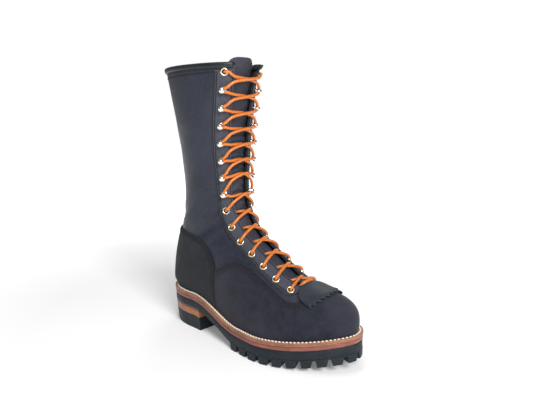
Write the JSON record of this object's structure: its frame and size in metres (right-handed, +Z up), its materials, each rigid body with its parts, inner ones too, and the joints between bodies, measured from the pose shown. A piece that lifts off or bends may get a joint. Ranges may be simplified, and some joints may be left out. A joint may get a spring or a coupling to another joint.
{
  "type": "logger boot",
  "caption": "Tall lace-up logger boot for the right foot: rough-out vamp and counter, smooth shaft, kiltie, speed hooks, stitched welt, stacked heel and lugged sole.",
  "frame": {"origin": "centre of the heel on the floor", "axes": "+X towards the toe, +Y towards the medial side (the other foot), +Z up the shaft"},
  "size_m": [0.315, 0.1177, 0.3701],
  "materials": {
    "smooth_leather": "oiled smooth leather, soft satin",
    "roughout_leather": "rough-out leather, matt nap",
    "kiltie_leather": "smooth leather, sawtooth edge",
    "tongue_leather": "soft garment leather",
    "binding_leather": "thin rolled binding leather",
    "welt_leather": "natural veg-tan leather, lock-stitched",
    "midsole_leather": "waxed brown leather edge",
    "lift_leather": "orange-brown stacked leather edge",
    "slip_leather": "dark ochre leather edge",
    "insole_leather": "natural leather",
    "rubber": "moulded black rubber",
    "lace_cord": "round braided lace, orange",
    "eyelet_brass": "polished pale brass",
    "hook_nickel": "polished nickel"
  },
  "bodies": {
    "root": {"outsole": "rubber", "heel": "rubber", "heel_lift": "lift_leather", "heel_slip": "slip_leather", "midsole": "midsole_leather", "welt": "welt_leather", "insole": "insole_leather", "upper": "smooth_leather", "vamp": "roughout_leather", "counter": "roughout_leather", "facing_lateral": "smooth_leather", "facing_medial": "smooth_leather", "backstay": "smooth_leather", "collar_binding": "binding_leather", "tongue": "tongue_leather", "kiltie": "kiltie_leather", "lace": "lace_cord", "eyelet_lateral_01": "eyelet_brass", "eyelet_lateral_02": "eyelet_brass", "eyelet_lateral_03": "eyelet_brass", "eyelet_lateral_04": "eyelet_brass", "eyelet_lateral_05": "eyelet_brass", "eyelet_lateral_06": "eyelet_brass", "eyelet_lateral_07": "eyelet_brass", "hook_lateral_08": "hook_nickel", "hook_lateral_09": "hook_nickel", "hook_lateral_10": "hook_nickel", "hook_lateral_11": "hook_nickel", "hook_lateral_12": "hook_nickel", "hook_lateral_13": "hook_nickel", "hook_lateral_14": "hook_nickel", "eyelet_lateral_15": "eyelet_brass", "eyelet_medial_01": "eyelet_brass", "eyelet_medial_02": "eyelet_brass", "eyelet_medial_03": "eyelet_brass", "eyelet_medial_04": "eyelet_brass", "eyelet_medial_05": "eyelet_brass", "eyelet_medial_06": "eyelet_brass", "eyelet_medial_07": "eyelet_brass", "hook_medial_08": "hook_nickel", "hook_medial_09": "hook_nickel", "hook_medial_10": "hook_nickel", "hook_medial_11": "hook_nickel", "hook_medial_12": "hook_nickel", "hook_medial_13": "hook_nickel", "hook_medial_14": "hook_nickel", "eyelet_medial_15": "eyelet_brass"}
  },
  "joints": []
}
